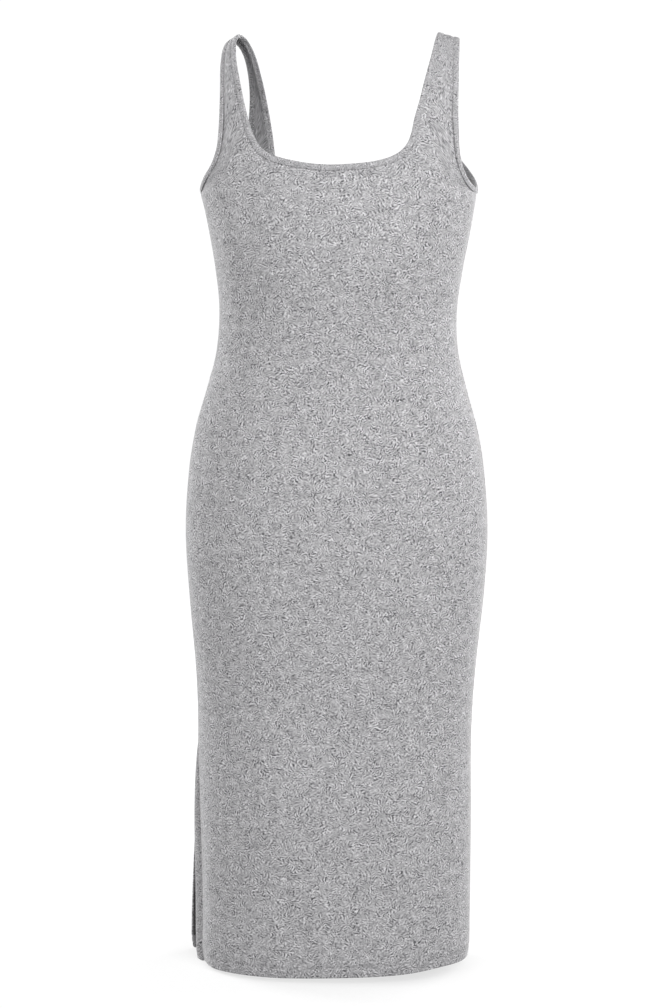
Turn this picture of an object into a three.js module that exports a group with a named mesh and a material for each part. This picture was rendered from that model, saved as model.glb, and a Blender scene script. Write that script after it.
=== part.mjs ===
import * as THREE from 'three';

// Sleeveless tank dress in a marled brushed knit, hollow and filled out as it is worn.
// Millimetres. The origin is midway between the two shoulder crests, +Z is up, the front faces -Y
// and +X is the viewer's right.

// Cloth and sewing: one layer, a hem or slit edge turned double, and the strip that binds the edges.
const WALL = 1.6;
const TURNED_WALL = 2.7;
const HEM_DEPTH = 14;
const STEP = 1.5;
const BINDING_WIDTH = 7.5;
const BINDING_PROUD = 0.5;
const SEAM_GAP = 0.35;
const SIDE_SEAM_GAP = 0.4;

// Heights
const HEM_Z = -1163;
const SLIT_TOP_Z = -880;
const UNDERARM_Z = -190;
const DIP_SPAN = 120;
const HEM_TILT = 0.036;
const TILT_SPAN = 260;

// How far the cloth rows dip under the middle of each neckline, and where the neckline starts
// round the section. The straps are slightly crowned across, and blend into the bodice over two rows.
const FRONT_DIP = 6;
const BACK_DIP = 46;
const NECK_TURN = 0.29 * Math.PI;
const STRAP_CROWN = 1.2;
const ROOT_BLEND = 2;

// Middles of the openings, and the sampling of the edge loops.
const NECK_MIDDLE = new THREE.Vector3(0, 0, -80);
const ARMHOLE_MIDDLE = new THREE.Vector3(146, 12, -90);
const TURN_STEP = 0.01;
const FRAME_SAMPLES = 8;
const FRAME_PASSES = 6;
const SPACING_SAMPLES = 240;

// Mesh density
const STRAP_COLUMNS = 5;
const NECK_COLUMNS = 20;
const SKIRT_ROWS = 27;
const BIB_ROWS = 7;
const STRAP_STEPS = 10;

// Horizontal sections of the filled dress, from the shoulders down: half width, depth in front of
// and behind the side seams, squareness of the outline, and sideways shift of the whole section.
const SECTIONS = [
  { z: -90, half: 172, front: 84, back: 98, square: 2.3, shift: 2.6 },
  { z: -125, half: 173, front: 90.5, back: 104, square: 2.3, shift: 2.7 },
  { z: -160, half: 173, front: 96, back: 108, square: 2.3, shift: 2.7 },
  { z: -192, half: 172, front: 102, back: 110, square: 2.3, shift: 2.7 },
  { z: -215, half: 167.5, front: 107, back: 110, square: 2.28, shift: 3.8 },
  { z: -242, half: 162.5, front: 111, back: 108, square: 2.25, shift: 4.3 },
  { z: -290, half: 154, front: 110, back: 103, square: 2.2, shift: 3.6 },
  { z: -340, half: 148.4, front: 102, back: 97, square: 2.15, shift: 2.4 },
  { z: -390, half: 151, front: 98, back: 96, square: 2.15, shift: 1.2 },
  { z: -440, half: 163.2, front: 99, back: 101, square: 2.2, shift: 0.5 },
  { z: -490, half: 177, front: 104, back: 110, square: 2.25, shift: 0.3 },
  { z: -540, half: 185.2, front: 109, back: 119, square: 2.3, shift: 0.2 },
  { z: -615, half: 190, front: 112, back: 127, square: 2.3, shift: 0.2 },
  { z: -692, half: 186.2, front: 110, back: 126, square: 2.3, shift: 0.1 },
  { z: -794, half: 176.8, front: 106, back: 119, square: 2.3, shift: -1 },
  { z: -870, half: 173.4, front: 104, back: 114, square: 2.3, shift: -2 },
  { z: -1000, half: 173.6, front: 103, back: 110, square: 2.3, shift: -2.4 },
  { z: -1170, half: 173.4, front: 104, back: 108, square: 2.3, shift: -3.4 },
];

// Strap edges from the front root over the crest (the sixth row) to the back root.
const STRAP_RIGHT = [
  { inX: 104, inY: -76, inZ: -110, outX: 156, outY: -48, outZ: -124 },
  { inX: 109.6, inY: -69, inZ: -88, outX: 155, outY: -45, outZ: -100 },
  { inX: 115, inY: -58.5, inZ: -62, outX: 154.7, outY: -38, outZ: -72 },
  { inX: 120.6, inY: -44, inZ: -36, outX: 154.3, outY: -28, outZ: -45 },
  { inX: 124.3, inY: -24, inZ: -12.5, outX: 153.8, outY: -14, outZ: -20 },
  { inX: 125.5, inY: 0, inZ: -1, outX: 152.5, outY: 5, outZ: -8.5 },
  { inX: 122.4, inY: 24, inZ: -10, outX: 148.5, outY: 29, outZ: -18 },
  { inX: 115.8, inY: 43, inZ: -32, outX: 142.5, outY: 49, outZ: -42 },
  { inX: 108.6, inY: 61, inZ: -61, outX: 137.5, outY: 64, outZ: -70 },
  { inX: 102.6, inY: 77, inZ: -91, outX: 135.3, outY: 74, outZ: -100 },
  { inX: 98.5, inY: 91, inZ: -120, outX: 137, outY: 79, outZ: -131 },
];
const STRAP_LEFT = [
  { inX: -97.5, inY: -76, inZ: -110, outX: -138.5, outY: -55, outZ: -124 },
  { inX: -104.4, inY: -69, inZ: -88, outX: -138.8, outY: -44, outZ: -98 },
  { inX: -111.2, inY: -58.5, inZ: -62, outX: -139.8, outY: -33, outZ: -70 },
  { inX: -118.4, inY: -42, inZ: -34, outX: -141.2, outY: -21, outZ: -41 },
  { inX: -121.4, inY: -22, inZ: -11, outX: -140.6, outY: -4, outZ: -18.5 },
  { inX: -119.6, inY: -2, inZ: -1, outX: -137, outY: 14, outZ: -8.5 },
  { inX: -113.4, inY: 14, inZ: -5.5, outX: -130.4, outY: 30, outZ: -8.5 },
  { inX: -106.4, inY: 33, inZ: -22, outX: -123.6, outY: 49, outZ: -20 },
  { inX: -101.4, inY: 53, inZ: -47, outX: -119.9, outY: 67, outZ: -45 },
  { inX: -96.8, inY: 74, inZ: -80, outX: -120.6, outY: 80, outZ: -80 },
  { inX: -92.6, inY: 91, inZ: -120, outX: -126.8, outY: 82, outZ: -126 },
];


// Necklines between the strap roots, from the viewer's right to the left.
const NECK_FRONT = [
  { x: 100.6, z: -127 },
  { x: 95.6, z: -140 },
  { x: 85.5, z: -150.5 },
  { x: 63, z: -159.4 },
  { x: 18, z: -164.2 },
  { x: -10, z: -163.8 },
  { x: -41, z: -159.2 },
  { x: -68, z: -151.5 },
  { x: -82, z: -142 },
  { x: -90.5, z: -128 },
];
const NECK_BACK = [
  { x: 95, z: -146 },
  { x: 88, z: -170 },
  { x: 74, z: -189 },
  { x: 51, z: -201 },
  { x: 18, z: -206 },
  { x: -18, z: -206 },
  { x: -51, z: -201 },
  { x: -72, z: -189 },
  { x: -84, z: -170 },
  { x: -90, z: -146 },
];

// Armhole edges from the strap root down to the underarm seam, front and back.
const ARMHOLE_RIGHT = {
  front: [{ x: 157, z: -145 }, { x: 160.3, z: -163 }, { x: 165.8, z: -178 }],
  back: [{ x: 148, z: -149 }, { x: 160.5, z: -164.5 }, { x: 169.8, z: -177 }],
};
const ARMHOLE_LEFT = {
  front: [{ x: -139.8, z: -142 }, { x: -146.5, z: -160 }, { x: -158, z: -176 }],
  back: [{ x: -138, z: -151 }, { x: -150, z: -168 }, { x: -161.5, z: -180 }],
};

// Where the open slit edges stand off the closed outline at the hem.
const SLIT_FRONT = { x: -3, y: -4, reach: 0.3 };
const SLIT_BACK = { x: -16, y: 26, reach: 0.66 };

// Soft folds of the filled knit: place round the section in half turns from the viewer's right
// seam, height, spread of each, and depth (negative is a trough).
const FOLDS_FRONT = [
  { at: 0.16, z: -300, round: 0.09, tall: 60, depth: -2.2 },
  { at: 0.84, z: -300, round: 0.09, tall: 60, depth: -2.4 },
  { at: 0.5, z: -345, round: 0.22, tall: 34, depth: -1.6 },
  { at: 0.36, z: -760, round: 0.07, tall: 210, depth: 1.6 },
  { at: 0.66, z: -820, round: 0.08, tall: 230, depth: 1.8 },
];
const FOLDS_BACK = [
  { at: 0.2, z: -320, round: 0.1, tall: 60, depth: -2.4 },
  { at: 0.8, z: -315, round: 0.1, tall: 60, depth: -2.2 },
  { at: 0.5, z: -380, round: 0.2, tall: 60, depth: -2.6 },
  { at: 0.35, z: -900, round: 0.08, tall: 200, depth: 1.8 },
  { at: 0.64, z: -860, round: 0.08, tall: 210, depth: 1.8 },
];

const FRONT = -1;
const BACK = 1;
const RIGHT = 1;
const LEFT = -1;

function smoothStep(value) {
  const t = Math.min(1, Math.max(0, value));
  return t * t * (3 - 2 * t);
}

function mix(from, to, t) {
  return from + (to - from) * t;
}

// Value of one section column at a height, with smooth slopes through the rows.
function column(key, z) {
  const last = SECTIONS.length - 1;
  let row = 0;
  while (row < last - 1 && z < SECTIONS[row + 1].z) {
    row += 1;
  }
  const slope = (index) => {
    const above = SECTIONS[Math.max(0, index - 1)];
    const below = SECTIONS[Math.min(last, index + 1)];
    return (below[key] - above[key]) / (below.z - above.z);
  };
  const from = SECTIONS[row];
  const to = SECTIONS[row + 1];
  const span = to.z - from.z;
  const t = Math.min(1, Math.max(0, (z - from.z) / span));
  const t2 = t * t;
  const t3 = t2 * t;
  const ends = from[key] * (2 * t3 - 3 * t2 + 1) + to[key] * (3 * t2 - 2 * t3);
  return ends + span * (slope(row) * (t3 - 2 * t2 + t) + slope(row + 1) * (t3 - t2));
}

function foldDepth(side, turn, z) {
  const folds = side === FRONT ? FOLDS_FRONT : FOLDS_BACK;
  let depth = 0;
  for (const fold of folds) {
    const across = (turn / Math.PI - fold.at) / fold.round;
    const along = (z - fold.z) / fold.tall;
    depth += fold.depth * Math.exp(-across * across - along * along);
  }
  return depth;
}

// Point of the filled dress: turn runs from 0 at the viewer's right seam to PI at the left seam.
function bodyPoint(side, turn, z) {
  const square = column('square', z);
  const half = column('half', z);
  const depth = column(side === FRONT ? 'front' : 'back', z);
  const across = Math.cos(turn);
  const out = Math.max(0, Math.sin(turn));
  const reach = (Math.abs(across) ** square + out ** square) ** (-1 / square);
  const normal = new THREE.Vector2(across / half, side * out / depth).normalize();
  const fold = foldDepth(side, turn, z);
  const slit = side === FRONT ? SLIT_FRONT : SLIT_BACK;
  const opening = slitOpening(z) * (1 - smoothStep((Math.PI - turn) / slit.reach));
  const x = column('shift', z) + half * across * reach + normal.x * fold + slit.x * opening;
  const y = side * depth * out * reach + normal.y * fold + slit.y * opening;
  return new THREE.Vector3(x, y, z + HEM_TILT * x * smoothStep((HEM_Z + TILT_SPAN - z) / TILT_SPAN));
}

// How far the side slit has opened at a height, from 0 at its top to 1 at the hem.
function slitOpening(z) {
  const below = Math.min(1, Math.max(0, (SLIT_TOP_Z - z) / (SLIT_TOP_Z - HEM_Z)));
  return below * (2 - below);
}

function turnAt(side, x, z) {
  const square = column('square', z);
  const offset = (x - column('shift', z)) / column('half', z);
  const across = Math.min(1, Math.abs(offset));
  return Math.atan2((1 - across ** square) ** (1 / square), Math.sign(offset) * across);
}

function bodyNormal(side, turn, z) {
  const inside = Math.min(Math.PI - TURN_STEP, Math.max(TURN_STEP, turn));
  const around = bodyPoint(side, inside + TURN_STEP, z).sub(bodyPoint(side, inside - TURN_STEP, z));
  const up = bodyPoint(side, inside, z + 1).sub(bodyPoint(side, inside, z - 1));
  return up.cross(around).multiplyScalar(-side).normalize();
}

// Edge loops: the finished neckline and the two finished armholes, each through named knots.
function bodyKnots(side, rows) {
  return rows.map((row) => bodyPoint(side, turnAt(side, row.x, row.z), row.z));
}

function strapKnots(strap, key) {
  return strap.map((row) => new THREE.Vector3(row[`${key}X`], row[`${key}Y`], row[`${key}Z`]));
}

function loopCurve(knots) {
  return new THREE.CatmullRomCurve3(knots, true, 'centripetal');
}

const neckCurve = loopCurve([
  ...strapKnots(STRAP_RIGHT, 'in'),
  ...bodyKnots(BACK, NECK_BACK),
  ...strapKnots(STRAP_LEFT, 'in').reverse(),
  ...bodyKnots(FRONT, NECK_FRONT).reverse(),
]);

function armholeCurve(strap, edge, seamTurn) {
  return loopCurve([
    ...strapKnots(strap, 'out'),
    ...bodyKnots(BACK, edge.back),
    bodyPoint(FRONT, seamTurn, UNDERARM_Z),
    ...bodyKnots(FRONT, edge.front).reverse(),
  ]);
}

// Knot numbers where each stretch of a loop begins.
const SPANS = STRAP_RIGHT.length - 1;
const CREST = SPANS / 2;
const NECK_LEFT = SPANS + NECK_BACK.length + 1;
const NECK_KNOTS = neckCurve.points.length;
const UNDERARM = SPANS + ARMHOLE_RIGHT.back.length + 1;
const ARMHOLE_KNOTS = UNDERARM + ARMHOLE_RIGHT.front.length + 1;

function neckKnot(hand, q) {
  return hand === RIGHT ? q : NECK_LEFT + SPANS - q;
}

// An edge loop with smoothed directions: out of the cloth and along it into the panel.
function edgeLoop(curve, middle, strapWay) {
  const knots = curve.points.length;
  const wrap = (knot) => ((knot % knots) + knots) % knots;
  const facing = curve.getTangent(0).cross(strapWay(0)).y < 0 ? 1 : -1;
  const frames = [];
  for (let index = 0; index < knots * FRAME_SAMPLES; index += 1) {
    const knot = index / FRAME_SAMPLES;
    const point = curve.getPoint(knot / knots);
    const along = curve.getTangent(knot / knots);
    let into = strapWay(knot);
    if (into === null) {
      const side = point.y < 0 ? FRONT : BACK;
      into = bodyNormal(side, turnAt(side, point.x, point.z), point.z).cross(along);
      into.multiplyScalar(into.dot(point.clone().sub(middle)) < 0 ? -1 : 1);
    }
    into.addScaledVector(along, -into.dot(along)).normalize();
    frames.push({ into });
  }
  for (let pass = 0; pass < FRAME_PASSES; pass += 1) {
    const before = frames.map((frame) => frame.into.clone());
    frames.forEach((frame, index) => {
      const previous = before[(index + frames.length - 1) % frames.length];
      const next = before[(index + 1) % frames.length];
      frame.into.add(previous).add(next).normalize();
    });
  }
  return (knot, inset, rise) => {
    const place = wrap(knot) * FRAME_SAMPLES;
    const here = frames[Math.floor(place) % frames.length];
    const next = frames[(Math.floor(place) + 1) % frames.length];
    const along = curve.getTangent(wrap(knot) / knots);
    const into = here.into.clone().lerp(next.into, place % 1);
    into.addScaledVector(along, -into.dot(along)).normalize();
    const normal = along.clone().cross(into).normalize().multiplyScalar(facing);
    const point = curve.getPoint(wrap(knot) / knots);
    return point.addScaledVector(into, inset).addScaledVector(normal, rise);
  };
}

function strapAcross(hand, q) {
  const curve = armholeCurves[hand];
  const outer = curve.getPoint(q / ARMHOLE_KNOTS);
  return outer.sub(neckCurve.getPoint(neckKnot(hand, q) / NECK_KNOTS));
}

const armholeCurves = {
  [RIGHT]: armholeCurve(STRAP_RIGHT, ARMHOLE_RIGHT, 0),
  [LEFT]: armholeCurve(STRAP_LEFT, ARMHOLE_LEFT, Math.PI),
};

const neckEdge = edgeLoop(neckCurve, NECK_MIDDLE, (knot) => {
  if (knot <= SPANS) {
    return strapAcross(RIGHT, knot);
  }
  if (knot >= NECK_LEFT && knot <= NECK_LEFT + SPANS) {
    return strapAcross(LEFT, NECK_LEFT + SPANS - knot);
  }
  return null;
});

function armholeEdge(hand) {
  const middle = ARMHOLE_MIDDLE.clone();
  middle.x *= hand;
  return edgeLoop(armholeCurves[hand], middle, (knot) => {
    return knot <= SPANS ? strapAcross(hand, knot).negate() : null;
  });
}

const armholeEdges = { [RIGHT]: armholeEdge(RIGHT), [LEFT]: armholeEdge(LEFT) };

// Knot numbers from one knot to another, evenly spaced along the loop.
function spacedKnots(edge, from, to, count) {
  const fine = [];
  let total = 0;
  let previous = edge(from, 0, 0);
  for (let index = 0; index <= SPACING_SAMPLES; index += 1) {
    const knot = mix(from, to, index / SPACING_SAMPLES);
    const point = edge(knot, 0, 0);
    total += point.distanceTo(previous);
    fine.push({ knot, total });
    previous = point;
  }
  const knots = [];
  for (let step = 0; step <= count; step += 1) {
    const wanted = total * step / count;
    let index = 1;
    while (index < SPACING_SAMPLES && fine[index].total < wanted) {
      index += 1;
    }
    const low = fine[index - 1];
    const high = fine[index];
    knots.push(mix(low.knot, high.knot, (wanted - low.total) / (high.total - low.total)));
  }
  return knots;
}

function edgeOut(edge, knot) {
  return edge(knot, 0, 1).sub(edge(knot, 0, 0));
}

// A closed wall from an outer grid of points: the inner face, and the edges between the two.
function clothWall(points, faces, walls, outs) {
  const outer = solid(points, faces);
  outer.computeVertexNormals();
  const normals = outer.getAttribute('normal');
  const inner = points.map((point, index) => {
    const normal = outs[index] ?? new THREE.Vector3().fromBufferAttribute(normals, index);
    return point.clone().addScaledVector(normal, -walls[index]);
  });
  const shift = points.length;
  const all = [...faces];
  const edges = new Map();
  for (const [a, b, c] of faces) {
    all.push([c + shift, b + shift, a + shift]);
    for (const [from, to] of [[a, b], [b, c], [c, a]]) {
      edges.set(`${from}_${to}`, [from, to]);
    }
  }
  for (const [from, to] of edges.values()) {
    if (!edges.has(`${to}_${from}`)) {
      all.push([from, from + shift, to], [to, from + shift, to + shift]);
    }
  }
  return solid([...points, ...inner], all);
}

function solid(points, faces) {
  const geometry = new THREE.BufferGeometry();
  const places = points.flatMap((point) => point.toArray());
  geometry.setAttribute('position', new THREE.Float32BufferAttribute(places, 3));
  geometry.setIndex(faces.flat());
  return geometry;
}

// One panel: skirt and bodice rows, the rows that rise to the neckline, then the two straps.
function panel(side) {
  const reach = BINDING_WIDTH + SEAM_GAP;
  const columns = 2 * STRAP_COLUMNS + NECK_COLUMNS;
  const neckFirst = STRAP_COLUMNS;
  const neckLast = STRAP_COLUMNS + NECK_COLUMNS;
  const dip = side === FRONT ? FRONT_DIP : BACK_DIP;
  const rootKnot = side === FRONT ? 0 : SPANS;
  const seamTurn = SIDE_SEAM_GAP / 2 / column(side === FRONT ? 'front' : 'back', UNDERARM_Z);
  const turns = [];
  for (let index = 0; index <= columns; index += 1) {
    if (index < neckFirst) {
      turns.push(mix(seamTurn, NECK_TURN, index / neckFirst));
    } else if (index <= neckLast) {
      turns.push(mix(NECK_TURN, Math.PI - NECK_TURN, (index - neckFirst) / NECK_COLUMNS));
    } else {
      turns.push(mix(Math.PI - NECK_TURN, Math.PI - seamTurn, (index - neckLast) / STRAP_COLUMNS));
    }
  }
  const points = [];
  const walls = [];
  const outs = [];
  const addPoint = (point, wall, out) => {
    points.push(point);
    walls.push(wall);
    outs.push(out);
    return points.length - 1;
  };
  const rows = [];

  // Edge knots that this panel meets, from the underarm to the strap root and round the neckline.
  const armholeTop = side === FRONT ? ARMHOLE_KNOTS : SPANS;
  const rise = {
    [RIGHT]: spacedKnots(armholeEdges[RIGHT], UNDERARM, armholeTop, BIB_ROWS),
    [LEFT]: spacedKnots(armholeEdges[LEFT], UNDERARM, armholeTop, BIB_ROWS),
  };
  const round = side === FRONT
    ? spacedKnots(neckEdge, NECK_KNOTS, NECK_LEFT + SPANS, NECK_COLUMNS)
    : spacedKnots(neckEdge, SPANS, NECK_LEFT, NECK_COLUMNS);
  const seamZ = armholeEdges[RIGHT](UNDERARM, reach, 0).z;

  // Skirt and bodice.
  const middle = (index) => Math.sin(Math.PI * index / columns) ** 2;
  const heights = [HEM_Z, HEM_Z + HEM_DEPTH, HEM_Z + HEM_DEPTH + STEP];
  for (let row = 1; row < SKIRT_ROWS; row += 1) {
    heights.push(mix(HEM_Z + HEM_DEPTH + STEP, seamZ, row / SKIRT_ROWS));
  }
  heights.push(seamZ);
  for (const height of heights) {
    const sink = dip * (1 - smoothStep((seamZ - height) / DIP_SPAN));
    rows.push(turns.map((turn, index) => {
      const turned = height <= HEM_Z + HEM_DEPTH || (index === columns && height < SLIT_TOP_Z);
      const atSeam = index === 0 || index === columns;
      const out = new THREE.Vector3(index === 0 ? 1 : -1, 0, 0);
      if (index === columns) {
        out.lerp(bodyNormal(side, turn, height), slitOpening(height)).normalize();
      }
      const point = bodyPoint(side, turn, height - sink * middle(index));
      return addPoint(point, turned ? TURNED_WALL : WALL, atSeam ? out : null);
    }));
  }

  // Bib: a patch between the underarm row, the armholes and the neckline.
  const place = (point) => ({ turn: turnAt(side, point.x, point.z), z: point.z });
  const surface = (spot) => bodyPoint(side, spot.turn, spot.z);
  const top = [];
  for (let index = 0; index <= columns; index += 1) {
    if (index >= neckFirst && index <= neckLast) {
      top.push(neckEdge(round[index - neckFirst], reach, 0));
    } else {
      top.push(null);
    }
  }
  const fillRoot = (hand, first, last) => {
    const outer = armholeEdges[hand](rootKnot, reach, 0);
    const from = hand === RIGHT ? outer : top[first];
    const to = hand === RIGHT ? top[last] : outer;
    const start = place(from);
    const end = place(to);
    for (let index = first; index <= last; index += 1) {
      const t = (index - first) / STRAP_COLUMNS;
      const spot = { turn: mix(start.turn, end.turn, t), z: mix(start.z, end.z, t) };
      const error = from.clone().sub(surface(start)).lerp(to.clone().sub(surface(end)), t);
      top[index] = surface(spot).add(error);
    }
  };
  fillRoot(RIGHT, 0, neckFirst);
  fillRoot(LEFT, neckLast, columns);
  const bottomZ = (index) => seamZ - dip * middle(index);
  for (let step = 1; step <= BIB_ROWS; step += 1) {
    const t = step / BIB_ROWS;
    const right = armholeEdges[RIGHT](rise[RIGHT][step], reach, 0);
    const left = armholeEdges[LEFT](rise[LEFT][step], reach, 0);
    const row = turns.map((turn, index) => {
      const spotTop = place(top[index]);
      const spot = { turn: mix(turn, spotTop.turn, t), z: mix(bottomZ(index), spotTop.z, t) };
      const error = top[index].clone().sub(surface(spotTop)).multiplyScalar(t);
      for (const [point, end, share] of [
        [right, 0, smoothStep(1 - index / neckFirst)],
        [left, columns, smoothStep((index - neckLast) / STRAP_COLUMNS)],
      ]) {
        const here = place(point);
        const above = place(top[end]);
        spot.turn += share * (here.turn - mix(turns[end], above.turn, t));
        spot.z += share * (here.z - mix(bottomZ(end), above.z, t));
        error.addScaledVector(point.clone().sub(surface(here)), share);
        error.addScaledVector(top[end].clone().sub(surface(above)), -share * t);
      }
      const point = surface(spot).add(error);
      let out = null;
      if (index === 0) {
        out = edgeOut(armholeEdges[RIGHT], rise[RIGHT][step]);
      } else if (index === columns) {
        out = edgeOut(armholeEdges[LEFT], rise[LEFT][step]);
      } else if (step === BIB_ROWS && index >= neckFirst && index <= neckLast) {
        out = edgeOut(neckEdge, round[index - neckFirst]);
      }
      return addPoint(point, WALL, out);
    });
    rows.push(row);
  }

  const faces = [];
  const quad = (a, b, c, d) => {
    const near = points[a].distanceTo(points[c]) <= points[b].distanceTo(points[d]);
    faces.push(...(near ? [[a, b, c], [a, c, d]] : [[a, b, d], [b, c, d]]));
  };
  const stitchRows = (below, above) => {
    for (let index = 0; index < below.length - 1; index += 1) {
      const corners = [below[index], below[index + 1], above[index + 1], above[index]];
      quad(...(side === FRONT ? corners.reverse() : corners));
    }
  };
  for (let row = 0; row < rows.length - 1; row += 1) {
    stitchRows(rows[row], rows[row + 1]);
  }

  // Straps: ruled between the two bindings with a slight crown, up to the shoulder seam.
  const rootRow = rows[rows.length - 1];
  for (const hand of [RIGHT, LEFT]) {
    const first = hand === RIGHT ? 0 : neckLast;
    const root = rootRow.slice(first, first + STRAP_COLUMNS + 1);
    const strapRow = (q) => {
      const inner = neckEdge(neckKnot(hand, q), reach, 0);
      const outer = armholeEdges[hand](q, reach, 0);
      const crown = armholeEdges[hand](q, reach, 1).sub(outer);
      return root.map((_, index) => {
        const t = index / STRAP_COLUMNS;
        const across = hand === RIGHT ? outer.clone().lerp(inner, t) : inner.clone().lerp(outer, t);
        return across.addScaledVector(crown, STRAP_CROWN * 4 * t * (1 - t));
      });
    };
    const start = strapRow(rootKnot);
    const errors = root.map((vertex, index) => points[vertex].clone().sub(start[index]));
    let below = root;
    const crestPoint = (q) => neckEdge(neckKnot(hand, q), reach, 0);
    const gapSteps = SEAM_GAP / 2 / crestPoint(CREST - 0.5).distanceTo(crestPoint(CREST + 0.5));
    for (let step = 1; step <= STRAP_STEPS; step += 1) {
      const away = (CREST - gapSteps) * step / STRAP_STEPS;
      const q = side === FRONT ? away : SPANS - away;
      const keep = 1 - smoothStep(away / ROOT_BLEND);
      const outNeck = edgeOut(neckEdge, neckKnot(hand, q));
      const outArm = edgeOut(armholeEdges[hand], q);
      const above = strapRow(q).map((point, index) => {
        const t = index / STRAP_COLUMNS;
        const out = hand === RIGHT ? outArm.clone().lerp(outNeck, t) : outNeck.clone().lerp(outArm, t);
        const edge = index === 0 || index === STRAP_COLUMNS || step === STRAP_STEPS;
        return addPoint(point.addScaledVector(errors[index], keep), WALL, edge ? out.normalize() : null);
      });
      stitchRows(below, above);
      below = above;
    }
  }
  return clothWall(points, faces, walls, outs);
}

// Binding: a folded strip swept round an edge loop at the given knots.
const BINDING_SECTION = [
  { inset: BINDING_WIDTH, rise: BINDING_PROUD * 0.6 },
  { inset: BINDING_WIDTH / 2, rise: BINDING_PROUD },
  { inset: 0.9, rise: BINDING_PROUD * 0.5 },
  { inset: 0, rise: -WALL / 2 },
  { inset: 0.9, rise: -WALL - BINDING_PROUD * 0.5 },
  { inset: BINDING_WIDTH / 2, rise: -WALL - BINDING_PROUD },
  { inset: BINDING_WIDTH, rise: -WALL - BINDING_PROUD * 0.6 },
];

function binding(edge, knots) {
  const points = [];
  const faces = [];
  const sides = BINDING_SECTION.length;
  for (const knot of knots) {
    for (const corner of BINDING_SECTION) {
      points.push(edge(knot, corner.inset, corner.rise));
    }
  }
  for (let ring = 0; ring < knots.length; ring += 1) {
    const here = ring * sides;
    const next = ((ring + 1) % knots.length) * sides;
    for (let index = 0; index < sides; index += 1) {
      const after = (index + 1) % sides;
      faces.push([here + index, next + index, next + after], [here + index, next + after, here + after]);
    }
  }
  return outwardSolid(points, faces);
}

function outwardSolid(points, faces) {
  let volume = 0;
  for (const [a, b, c] of faces) {
    volume += points[a].dot(points[b].clone().cross(points[c]));
  }
  return solid(points, volume < 0 ? faces.map(([a, b, c]) => [c, b, a]) : faces);
}

function strapSteps(from, to) {
  const knots = [];
  for (let step = 0; step <= 2 * STRAP_STEPS; step += 1) {
    knots.push(mix(from, to, step / (2 * STRAP_STEPS)));
  }
  return knots;
}

const neckKnots = [
  ...strapSteps(0, SPANS).slice(0, -1),
  ...spacedKnots(neckEdge, SPANS, NECK_LEFT, NECK_COLUMNS).slice(0, -1),
  ...strapSteps(NECK_LEFT, NECK_LEFT + SPANS).slice(0, -1),
  ...spacedKnots(neckEdge, NECK_LEFT + SPANS, NECK_KNOTS, NECK_COLUMNS).slice(0, -1),
];

function armholeKnots(hand) {
  return [
    ...strapSteps(0, SPANS).slice(0, -1),
    ...spacedKnots(armholeEdges[hand], SPANS, UNDERARM, BIB_ROWS).slice(0, -1),
    ...spacedKnots(armholeEdges[hand], UNDERARM, ARMHOLE_KNOTS, BIB_ROWS).slice(0, -1),
  ];
}

const dress = new THREE.Group();

function add(name, geometry, color) {
  const material = new THREE.MeshStandardMaterial({ color, roughness: 0.95, metalness: 0 });
  const mesh = new THREE.Mesh(geometry, material);
  mesh.name = name;
  dress.add(mesh);
}

add('front_panel', panel(FRONT), 0xafafb1);
add('back_panel', panel(BACK), 0xafafb1);
add('neck_binding', binding(neckEdge, neckKnots), 0xa6a6a9);
add('armhole_binding_right', binding(armholeEdges[RIGHT], armholeKnots(RIGHT)), 0xa6a6a9);
add('armhole_binding_left', binding(armholeEdges[LEFT], armholeKnots(LEFT)), 0xa6a6a9);

export default dress;
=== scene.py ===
import bisect
import functools
import math

import bmesh
import bpy
from mathutils import Matrix, Vector
from mathutils.kdtree import KDTree


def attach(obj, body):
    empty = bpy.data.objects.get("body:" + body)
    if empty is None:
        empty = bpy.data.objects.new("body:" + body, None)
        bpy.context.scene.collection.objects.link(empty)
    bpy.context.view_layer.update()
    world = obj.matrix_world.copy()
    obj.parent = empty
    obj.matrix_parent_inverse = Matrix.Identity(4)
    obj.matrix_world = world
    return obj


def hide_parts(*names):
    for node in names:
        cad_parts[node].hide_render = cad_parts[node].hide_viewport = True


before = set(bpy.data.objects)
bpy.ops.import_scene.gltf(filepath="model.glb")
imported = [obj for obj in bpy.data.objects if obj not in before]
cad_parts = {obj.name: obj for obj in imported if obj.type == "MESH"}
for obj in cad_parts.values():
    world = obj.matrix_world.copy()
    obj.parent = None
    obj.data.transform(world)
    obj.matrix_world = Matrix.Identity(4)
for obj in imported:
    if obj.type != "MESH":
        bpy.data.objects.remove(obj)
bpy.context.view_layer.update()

# Front panel: one piece of marled brushed knit from the hem to the two shoulder seams, filled out as
# it is worn. Its hem and its slit edge are turned in once and stitched, and its other edges run
# under the bindings and into the seams. Sizes are millimetres, and become metres as a mesh is laid.
MM = 0.001
FRONT, BACK = -1, 1
RIGHT, LEFT = 1, -1
KNIT_WALL = 1.35
HEM_Z = -1163
SLIT_TOP_Z = -880
UNDERARM_Z = -190
DIP_SPAN = 120
HEM_TILT = 0.036
TILT_SPAN = 260
DIPS = {FRONT: 6, BACK: 46}
NECK_TURN = 0.29 * math.pi
STRAP_CROWN = 1.2
ROOT_BLEND = 2
BINDING_WIDTH = 7.5
TUCK = 1.6
SEAM_GAP = 0.35
SIDE_SEAM_GAP = 0.4

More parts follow.
